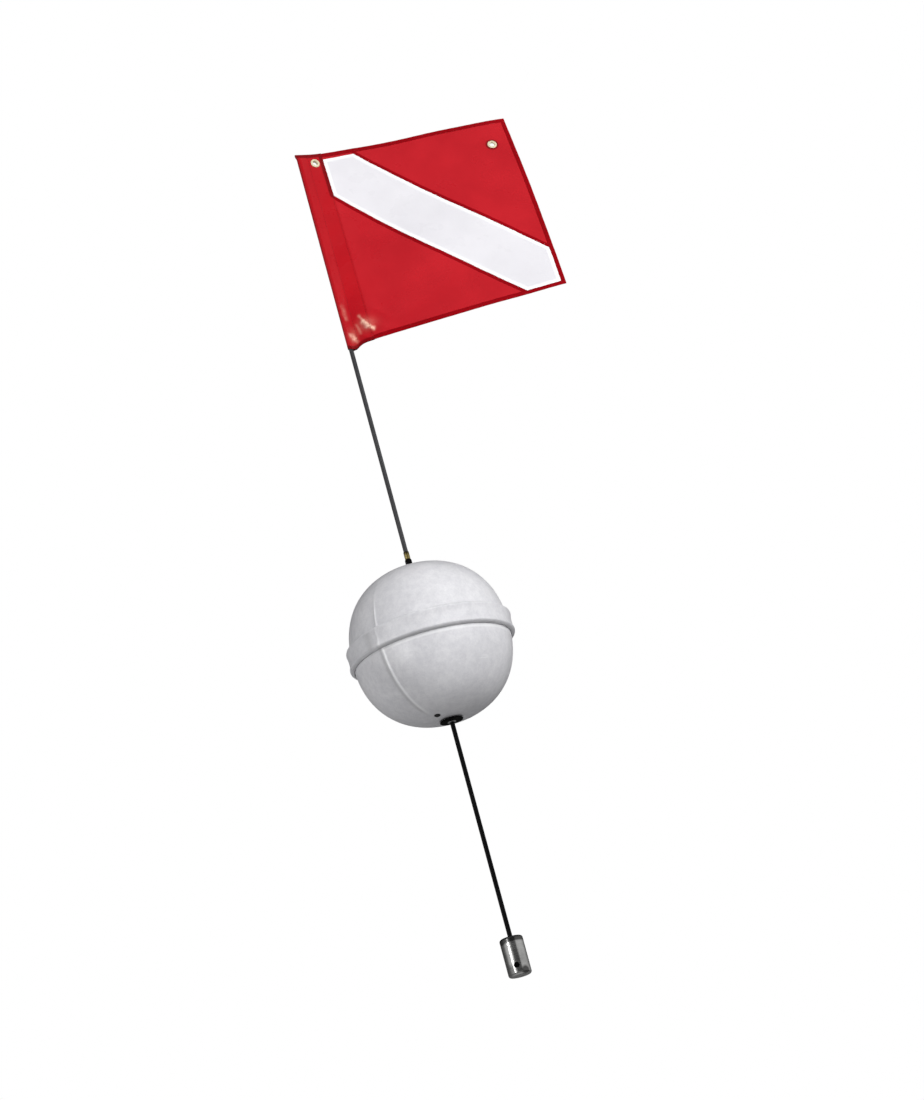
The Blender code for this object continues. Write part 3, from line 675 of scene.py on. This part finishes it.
def wrinkle(u, v):
    """How far the cloth lies off its even shape, towards the back."""
    long = (0.9 * np.sin((u * 0.55 + v * 0.9) / 31.0 + 0.4)
            + 0.6 * np.sin((u * 1.1 - v * 0.45) / 26.0 + 1.7)
            + 0.35 * np.sin((u * 0.8 + v * 1.6) / 13.0 + 2.2))
    # creases in the lower hoist corner: a sharp one down the corner and lesser ones
    crumple = crease(u, v, 39.5, 325.0, 60.0, 4.4, 6.2, 15.0)
    crumple = crumple + crease(u, v, 58.0, 336.0, 25.0, 1.7, 6.0, 18.0)
    crumple = crumple + crease(u, v, 27.0, 343.0, 40.0, 1.6, 4.5, 11.0)
    crumple = crumple + crease(u, v, 66.0, 312.0, 48.0, 1.1, 7.0, 18.0)
    c1 = bump(u, 44, 26) * bump(v, 330, 22)
    crumple = crumple + c1 * (0.5 * np.sin((u * 0.9 + v * 0.5) / 4.1)
                              + 0.4 * np.sin((u * 0.35 - v * 1.0) / 4.8 + 0.8))
    # pull towards the two grommets
    pull = 0.0
    for gu, gv in ((30.5, 17.8), (329.0, 50.4)):
        rr = np.hypot(u - gu, v - gv)
        pull = pull + 0.35 * np.exp(-(rr / 26.0) ** 2) * np.cos(np.arctan2(v - gv, u - gu) * 5)
    # puckers along the hems
    hem = (np.exp(-((v - 4) / 5) ** 2) + np.exp(-((H - 4 - v) / 5) ** 2)) * np.sin(u / 3.4) \
        + np.exp(-((W - 4 - u) / 5) ** 2) * np.sin(v / 3.1)
    settle = np.clip((u - 12.0) / 26.0, 0, 1)
    settle = settle * settle * (3 - 2 * settle)
    free = np.clip(np.hypot(u - 30.5, v - 17.8) / 14 - 0.65, 0, 1)
    free2 = np.clip(np.hypot(u - 329.0, v - 50.4) / 14 - 0.65, 0, 1)
    return settle * (long * 0.6 + crumple + pull) * free * free2 + settle * 0.14 * hem


def flag_point(u, v, h=0.0):
    u, v, h = np.broadcast_arrays(np.asarray(u, float), np.asarray(v, float),
                                  np.asarray(h, float))
    p = flag_mid(u, v)
    du = flag_mid(u + 0.5, v) - flag_mid(u - 0.5, v)
    dv = flag_mid(u, v + 0.5) - flag_mid(u, v - 0.5)
    n = np.cross(du, dv)
    n /= np.linalg.norm(n, axis=-1, keepdims=True)
    n = np.where(n[..., 1:2] < 0, -n, n)
    return p + n * (h + wrinkle(u, v))[..., None]


def hole_tools(names):
    tools = []
    for name in names:
        gu, gv = {"hoist": (30.5, 17.8), "fly": (329.0, 50.4)}[name]
        p = flag_point(gu, gv, -10.0)
        q = flag_point(gu, gv, 10.0)
        c = flag_mid(gu, gv)
        n = (q - p) / np.linalg.norm(q - p)
        tools.append(cylinder(c - n * 10, c + n * 10, 5.0, 40))
    return tools


HALF = 0.35

us = np.unique(np.concatenate([np.linspace(18.6, 90, 48), np.linspace(90, W, 150)]))
vs = np.unique(np.concatenate([np.linspace(0, 270, 130), np.linspace(270, H, 58)]))
U, V = np.meshgrid(us, vs)


def crease_glint_marks(u, v):
    """Painted highlight: peach glints along the hard creases of the lower corner, with a soft sheen."""
    out = 0.20 * np.exp(-((u - 40) / 13) ** 2 - ((v - 326) / 10) ** 2)
    out = out + 0.20 * np.exp(-((u - 14) / 6) ** 2 - ((v - 337) / 9) ** 2)
    wave = 0.9 * np.sin(u / 2.3 + v / 3.1) + 0.6 * np.sin(u / 1.3 - v / 1.9 + 1.0)
    for ua, va, ub, vb, width, level in (
            (31.5, 309.0, 35.0, 321.0, 2.1, 0.45), (35.0, 321.0, 39.5, 330.0, 3.2, 1.15),
            (39.5, 330.0, 48.0, 336.5, 3.0, 1.05), (12.0, 334.0, 15.0, 341.0, 3.0, 0.85),
            (16.0, 342.0, 19.0, 348.0, 2.0, 0.35), (8.0, 284.0, 9.5, 309.0, 2.0, 0.22),
            (24.0, 322.0, 27.0, 338.0, 2.4, 0.22)):
        du, dv = ub - ua, vb - va
        t = np.clip(((u - ua) * du + (v - va) * dv) / (du * du + dv * dv), 0, 1)
        gap = np.hypot(u - ua - t * du, v - va - t * dv) + wave * 0.5
        out = np.maximum(out, level * np.exp(-(np.maximum(gap, 0) / width) ** 2))
    return out


cloth = add("flag_cloth", *closed_grid(flag_point(U, V, -HALF), flag_point(U, V, HALF)), RED)
# painted highlight on the cloth's creased corner
crease_glint = crease_glint_marks(U, V)
float_attribute(cloth, "crease_glint", np.concatenate([crease_glint.ravel(), crease_glint.ravel()]))
# painted shade: a dark red ring on the cloth round each eyelet, where the raised eyelet's shadow falls
ring = np.maximum(*[np.clip(1.5 - np.abs(np.hypot(U - gu, V - gv) - 9.3) / 1.2, 0, 1)
                    for gu, gv in ((30.5, 17.8), (329.0, 50.4))])
float_attribute(cloth, "hem", np.concatenate([ring.ravel(), ring.ravel()]))
carve(cloth, hole_tools(["hoist", "fly"]))
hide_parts("flag_panel")
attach(cloth, "flag")

# sleeve
LEAF, S_T, LOOP = 1.15, 0.8, 4.35
S_END, STITCH = 45.7, 17.0


def sleeve_section(loop_r, centre, count=33):
    reach = STITCH - centre
    tangent = math.acos(min(loop_r / math.hypot(reach, LEAF), 1)) + math.atan2(LEAF, reach)
    leaf = [(u, LEAF) for u in np.linspace(S_END, STITCH, 18)]
    fold = []
    for a in np.linspace(tangent, 2 * math.pi - tangent, count):
        fold.append((centre + loop_r * math.cos(a), loop_r * math.sin(a)))
    return np.array(leaf + fold + [(u, -h) for u, h in leaf[::-1]])


def smoothstep(x):
    x = min(max(x, 0.0), 1.0)
    return x * x * (3 - 2 * x)


rows_v = np.unique(np.concatenate([np.linspace(0, 12, 13), np.linspace(12, 290, 120),
                                   np.linspace(290, H, 48)]))
outer_s, inner_s = [], []
for v in rows_v:
    k = smoothstep((v - 3.0) / 4.5)
    lr = (LEAF - 0.01) * (1 - k) + LOOP * k
    cc = -0.5 * (1 - k) + FOLD * k
    sec = sleeve_section(lr, cc)
    for _ in range(2):
        mid = sec.copy()
        mid[1:-1] = (sec[:-2] + 2 * sec[1:-1] + sec[2:]) / 4
        sec = mid
    tan = np.gradient(sec, axis=0)
    nrm = np.stack([tan[:, 1], -tan[:, 0]], -1)
    nrm /= np.linalg.norm(nrm, axis=1, keepdims=True)
    outer_s.append(sec + nrm * S_T / 2)
    inner_s.append(sec - nrm * S_T / 2)
outer_s, inner_s = np.array(outer_s), np.array(inner_s)
VV = np.repeat(rows_v[:, None], outer_s.shape[1], 1)
sleeve = add("flag_sleeve_cloth", *closed_grid(
    flag_point(outer_s[..., 0], VV, outer_s[..., 1]),
    flag_point(inner_s[..., 0], VV, inner_s[..., 1])), SLEEVE)
SLOPE, UPPER, LOWER = 1.037, -92.9, 36.6
beside = np.clip((outer_s[..., 0] - (S_END - 6.4)) / 0.8, 0, 1) \
    * np.clip((LOWER + 8.6 + SLOPE * outer_s[..., 0] - VV) / 1.2, 0, 1)
ends = np.maximum(np.clip((6.8 - VV) / 1.0, 0, 1), np.clip((VV - (H - 6.0)) / 1.4, 0, 1))
dark = np.maximum(beside, ends)
float_attribute(sleeve, "hem", np.concatenate([dark.ravel(), dark.ravel()]))
# the same painted highlight on the sleeve
crease_glint = crease_glint_marks(outer_s[..., 0], VV)
float_attribute(sleeve, "crease_glint", np.concatenate([crease_glint.ravel(), crease_glint.ravel()]))
carve(sleeve, hole_tools(["hoist"]))
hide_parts("flag_sleeve")
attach(sleeve, "flag")

# white stripe on each face, folded under along its edges
left, right_u = S_END + 0.8, W - 7.4
top_v, bottom_v = 11.4, H - 6.6
upper_line = [(left, top_v), ((top_v - UPPER) / SLOPE, top_v), (right_u, UPPER + SLOPE * right_u)]
lower_line = [(left, LOWER + SLOPE * left), ((bottom_v - LOWER) / SLOPE, bottom_v),
              (right_u, bottom_v)]


def along(points, stops, f):
    return (np.interp(f, stops, [p[0] for p in points]),
            np.interp(f, stops, [p[1] for p in points]))


f = np.unique(np.concatenate([np.linspace(0, 1, 190), [0.16, 0.84]]))
uu, vu = along(upper_line, [0, 0.16, 1], f)
ul, vl = along(lower_line, [0, 0.84, 1], f)
across = np.unique(np.concatenate([[0, 0.006, 0.015, 0.03, 0.05, 0.065],
                                   np.linspace(0.09, 0.91, 44),
                                   [0.935, 0.95, 0.97, 0.985, 0.994, 1]]))[:, None]
PU, PV = uu[None] * (1 - across) + ul[None] * across, vu[None] * (1 - across) + vl[None] * across


def line_gap(u, v):
    """Distance in mm from the stripe's nearest edge, inside the stripe."""
    k = math.sqrt(1 + SLOPE ** 2)
    d = np.minimum((v - UPPER - SLOPE * u) * -1 / k * -1, 1e9)
    d1 = (v - (UPPER + SLOPE * u)) / k
    d2 = ((LOWER + SLOPE * u) - v) / k
    return np.minimum.reduce([d1, d2, u - left, right_u - u, v - top_v, bottom_v - v])


edge_d = np.clip(line_gap(PU, PV), 0, 60)
raised = 0.22 * np.clip((7.5 - edge_d) / 1.5, 0, 1) * np.clip(edge_d / 0.8, 0.1, 1)
hem_w = np.clip((6.6 - edge_d) / 1.8, 0, 1)
for side, sign in (("front", -1), ("back", 1)):
    inner = flag_point(PU, PV, sign * (HALF + 0.06))
    outer = flag_point(PU, PV, sign * (HALF + 0.5 + raised))
    st = add("stripe_" + side, *closed_grid(outer, inner), WHITE)
    float_attribute(st, "hem", np.concatenate([hem_w.ravel(), hem_w.ravel()]))
    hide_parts("flag_stripe_" + side)
    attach(st, "flag")


# darker red turned edges: the outer hem and the tapes beside the stripe
def tape(a0, a1, b0, b1, count, sign, low=HALF + 0.05, high=HALF + 0.42):
    """A strip between line a0-a1 and line b0-b1 on one face of the cloth."""
    t = np.linspace(0, 1, count)[None]
    w = np.array([0, 0.04, 0.15, 0.5, 0.85, 0.96, 1])[:, None]
    crown = np.array([0.1, 0.75, 1, 1, 1, 0.75, 0.1])[:, None]
    au, av = a0[0] + (a1[0] - a0[0]) * t, a0[1] + (a1[1] - a0[1]) * t
    bu, bv = b0[0] + (b1[0] - b0[0]) * t, b0[1] + (b1[1] - b0[1]) * t
    u, v = au * (1 - w) + bu * w, av * (1 - w) + bv * w
    return closed_grid(flag_point(u, v, sign * (low + (high - low) * crown)),
                       flag_point(u, v, sign * low + 0 * u))


def joined(name, parts, mat, smooth=40.0):
    verts, faces, off = [], [], 0
    for vs_, fs_ in parts:
        verts.append(np.asarray(vs_))
        faces += [tuple(i + off for i in fc) for fc in fs_]
        off += len(vs_)
    return add(name, np.concatenate(verts), faces, mat, smooth)


TAPE = 8.6                      # along v, about 6 mm across the slanted tape
hem_w_mm = 7.6
tapes = []
for sign in (-1, 1):
    tapes.append(tape((S_END + 0.3, 0.15), (W - 0.15, 0.15),
                      (S_END + 0.3, hem_w_mm), (W - 0.15, hem_w_mm), 180, sign))
    tapes.append(tape((S_END + 0.3, H - hem_w_mm), (W - 0.15, H - hem_w_mm),
                      (S_END + 0.3, H - 0.15), (W - 0.15, H - 0.15), 180, sign))
    tapes.append(tape((W - hem_w_mm, hem_w_mm + 0.1), (W - hem_w_mm, H - hem_w_mm - 0.1),
                      (W - 0.15, hem_w_mm + 0.1), (W - 0.15, H - hem_w_mm - 0.1), 180, sign))
    v0, v1, u0, u1 = hem_w_mm + 0.2, H - hem_w_mm - 0.2, S_END + 0.3, W - hem_w_mm - 0.2
    g = 0.5
    tapes.append(tape(((v0 - UPPER + TAPE) / SLOPE, v0), (u1, UPPER - TAPE + SLOPE * u1),
                      ((v0 - UPPER + g) / SLOPE, v0), (u1, UPPER - g + SLOPE * u1), 180, sign))
    tapes.append(tape((u0, LOWER + g + SLOPE * u0), ((v1 - LOWER - g) / SLOPE, v1),
                      (u0, LOWER + TAPE + SLOPE * u0), ((v1 - LOWER - TAPE) / SLOPE, v1),
                      180, sign))
hems = joined("flag_hems", tapes, HEM)
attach(hems, "flag")


# stitching
def stitches(a, b, h, pitch=4.2, length=3.1, radius=0.26):
    a, b = np.array(a, float), np.array(b, float)
    total = np.linalg.norm(b - a)
    count = int(total / pitch)
    d = (b - a) / total
    ts = np.linspace(0, 1, 5)
    arch = np.array([-0.22, 0.10, 0.16, 0.10, -0.22])
    out = []
    starts = (np.arange(count) + 0.5) * (total / count) - length / 2
    uv = a[None, None] + (starts[:, None] + ts[None] * length)[..., None] * d
    sgn = 1 if h > 0 else -1
    c = flag_point(uv[..., 0], uv[..., 1], h + sgn * arch[None])
    c2 = flag_point(uv[..., 0], uv[..., 1], h + sgn * (arch[None] + 1))
    nrm = (c2 - c)
    nrm /= np.linalg.norm(nrm, axis=-1, keepdims=True)
    tang = np.gradient(c, axis=1)
    tang /= np.linalg.norm(tang, axis=-1, keepdims=True)
    side = np.cross(tang, nrm)
    ang = np.linspace(0, 2 * math.pi, 6, endpoint=False)
    for i in range(count):
        ring = (c[i][:, None] + radius * (np.cos(ang)[None, :, None] * side[i][:, None]
                                          + np.sin(ang)[None, :, None] * nrm[i][:, None]))
        verts = ring.reshape(-1, 3)
        faces = [(k * 6 + j, k * 6 + (j + 1) % 6, (k + 1) * 6 + (j + 1) % 6, (k + 1) * 6 + j)
                 for k in range(4) for j in range(6)]
        faces += [tuple(range(5, -1, -1)), tuple(range(24, 30))]
        out.append((verts, faces))
    return out


runs = []
for sign in (-1, 1):
    hh = sign * (HALF + 0.46)
    runs += stitches((S_END + 3, 5.6), (W - 6, 5.6), hh)
    runs += stitches((S_END + 3, H - 5.6), (W - 6, H - 5.6), hh)
    runs += stitches((W - 5.6, 9), (W - 5.6, H - 9), hh)
    for off in (-2.2,):
        runs += stitches(((12 - UPPER - off) / SLOPE, 12), (W - 12, UPPER + off + SLOPE * (W - 12)), hh)
    runs += stitches((S_END + 4, LOWER + 2.2 + SLOPE * (S_END + 4)),
                     ((H - 12 - LOWER - 2.2) / SLOPE, H - 12), hh)
    hs = sign * (LEAF + S_T / 2 + 0.06)
    runs += stitches((43.4, 2), (43.4, H - 2), hs)
    runs += stitches((19.2, 2), (19.2, H - 2), hs)
thread = joined("flag_stitching", runs, THREAD, 60)
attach(thread, "flag")

# ------------------------------------------------------------------ studio
floor_me = bpy.data.meshes.new("floor")
Z = -5.0
floor_me.from_pydata([(-30, -30, Z), (30, -30, Z), (30, 30, Z), (-30, 30, Z)], [], [(0, 1, 2, 3)])
floor = bpy.data.objects.new("floor", floor_me)
bpy.context.scene.collection.objects.link(floor)
k = Mat("floor_pale")
k.colour(k.ramp(k.noise(1.5, 3.0), (0.3, (0.80, 0.80, 0.80)), (0.7, (0.84, 0.84, 0.84))))
k.set(Roughness=0.9)
paler = k.node("ShaderNodeMath", operation="MULTIPLY")
k.link(k.node("ShaderNodeLightPath").outputs["Is Camera Ray"], paler.inputs[0])
paler.inputs[1].default_value = 0.36
k.link(paler.outputs[0], k.b.inputs["Emission Strength"])
floor_me.materials.append(k.m)

world = bpy.data.worlds.new("studio")
bpy.context.scene.world = world
world.use_nodes = True
wt = world.node_tree
bg = wt.nodes["Background"]
lp = wt.nodes.new("ShaderNodeLightPath")


def world_node(kind, **props):
    n = wt.nodes.new(kind)
    for key_, val in props.items():
        setattr(n, key_, val)
    return n


def world_ramp(value, lo, hi, stops):
    """A level read from the value, with (position, level) stops from lo to hi."""
    span_ = world_node("ShaderNodeMapRange")
    span_.inputs["From Min"].default_value = lo
    span_.inputs["From Max"].default_value = hi
    wt.links.new(value, span_.inputs["Value"])
    n = world_node("ShaderNodeValToRGB")
    el = n.color_ramp.elements
    while len(el) < len(stops):
        el.new(0.5)
    for i, (pos, level) in enumerate(stops):
        el[i].position = (pos - lo) / (hi - lo)
        el[i].color = (level, level, level, 1.0)
    wt.links.new(span_.outputs["Result"], n.inputs["Fac"])
    return n.outputs["Color"]


def world_math(op, a_, b_):
    n = world_node("ShaderNodeMath", operation=op)
    for i, val in enumerate((a_, b_)):
        if isinstance(val, float):
            n.inputs[i].default_value = val
        else:
            wt.links.new(val, n.inputs[i])
    return n.outputs[0]


# the studio round the object: pale walls, a dark card at the front and a dark
# end behind, darker towards the floor; the backdrop itself is white
way = world_node("ShaderNodeSeparateXYZ")
wt.links.new(world_node("ShaderNodeTexCoord").outputs["Generated"], way.inputs["Vector"])
azimuth_ = world_math("ARCTAN2", way.outputs["X"], world_math("MULTIPLY", way.outputs["Y"], -1.0))
azimuth_ = world_math("MULTIPLY", azimuth_, 180.0 / math.pi)
walls = world_ramp(azimuth_, -180.0, 180.0,
                   [(-180, 0.08), (-125, 0.10), (-98, 0.20), (-72, 0.58), (0, 0.64), (60, 0.62),
                    (105, 0.56), (128, 0.30), (150, 0.10), (180, 0.08)])
card = world_math("MULTIPLY",
                  world_ramp(azimuth_, -180.0, 180.0, [(-21, 0.0), (-16, 1.0), (33, 1.0), (41, 0.0)]),
                  world_ramp(way.outputs["Z"], -1.0, 1.0,
                             [(-0.06, 0.0), (0.02, 1.0), (0.48, 1.0), (0.60, 0.0)]))
open_ = world_math("SUBTRACT", 1.0, world_math("MULTIPLY", card, 0.88))
height_ = world_ramp(way.outputs["Z"], -1.0, 1.0, [(-1, 1.0), (-0.15, 0.96), (0.2, 1.0), (0.6, 0.52), (1, 0.22)])
room = world_math("MULTIPLY", world_math("MULTIPLY", walls, height_), 1.14)
room = world_math("MULTIPLY", room, open_)
mixn = world_node("ShaderNodeMix", data_type="FLOAT")
wt.links.new(lp.outputs["Is Camera Ray"], mixn.inputs[0])
wt.links.new(room, mixn.inputs[2])
mixn.inputs[3].default_value = 1.0
wt.links.new(mixn.outputs[0], bg.inputs["Strength"])
bg.inputs["Color"].default_value = (1.0, 1.0, 1.0, 1.0)


def area(name, azimuth, elevation, distance, size, power, target=(0, 0, 0.1), size_y=None):
    """A soft light. Azimuth 0 is the front, positive towards +X."""
    a, e = math.radians(azimuth), math.radians(elevation)
    d = Vector((math.sin(a) * math.cos(e), -math.cos(a) * math.cos(e), math.sin(e)))
    li = bpy.data.lights.new(name, 'AREA')
    li.shape = 'RECTANGLE'
    li.size = size
    li.size_y = size_y or size
    li.energy = power
    ob = bpy.data.objects.new(name, li)
    bpy.context.scene.collection.objects.link(ob)
    ob.location = Vector(target) + d * distance
    ob.rotation_mode = 'QUATERNION'
    ob.rotation_quaternion = d.to_track_quat('Z', 'Y')
    return ob


key = area("key", 40, 16, 3.2, 1.6, 85.0, (0, 0, 0.15))
key.visible_glossy = False
strip = area("strip", -39, 12, 2.4, 0.30, 12.0, (0, 0, -0.49), 1.3)
rear = area("rear", 176, 17, 3.2, 1.8, 62.0, (0, 0, 0.15))
rear.visible_glossy = False
side = area("side", -118, 4, 3.2, 1.6, 17.0, (0, 0, 0.15))
side.visible_glossy = False
ground = area("ground", 0, -90, 0.0, 7.0, 36.0, (0, 0, -3.9))
ground.rotation_quaternion = Vector((0, 0, 1)).to_track_quat('Z', 'Y')
for light in (key, rear, side, ground):
    light.visible_camera = False
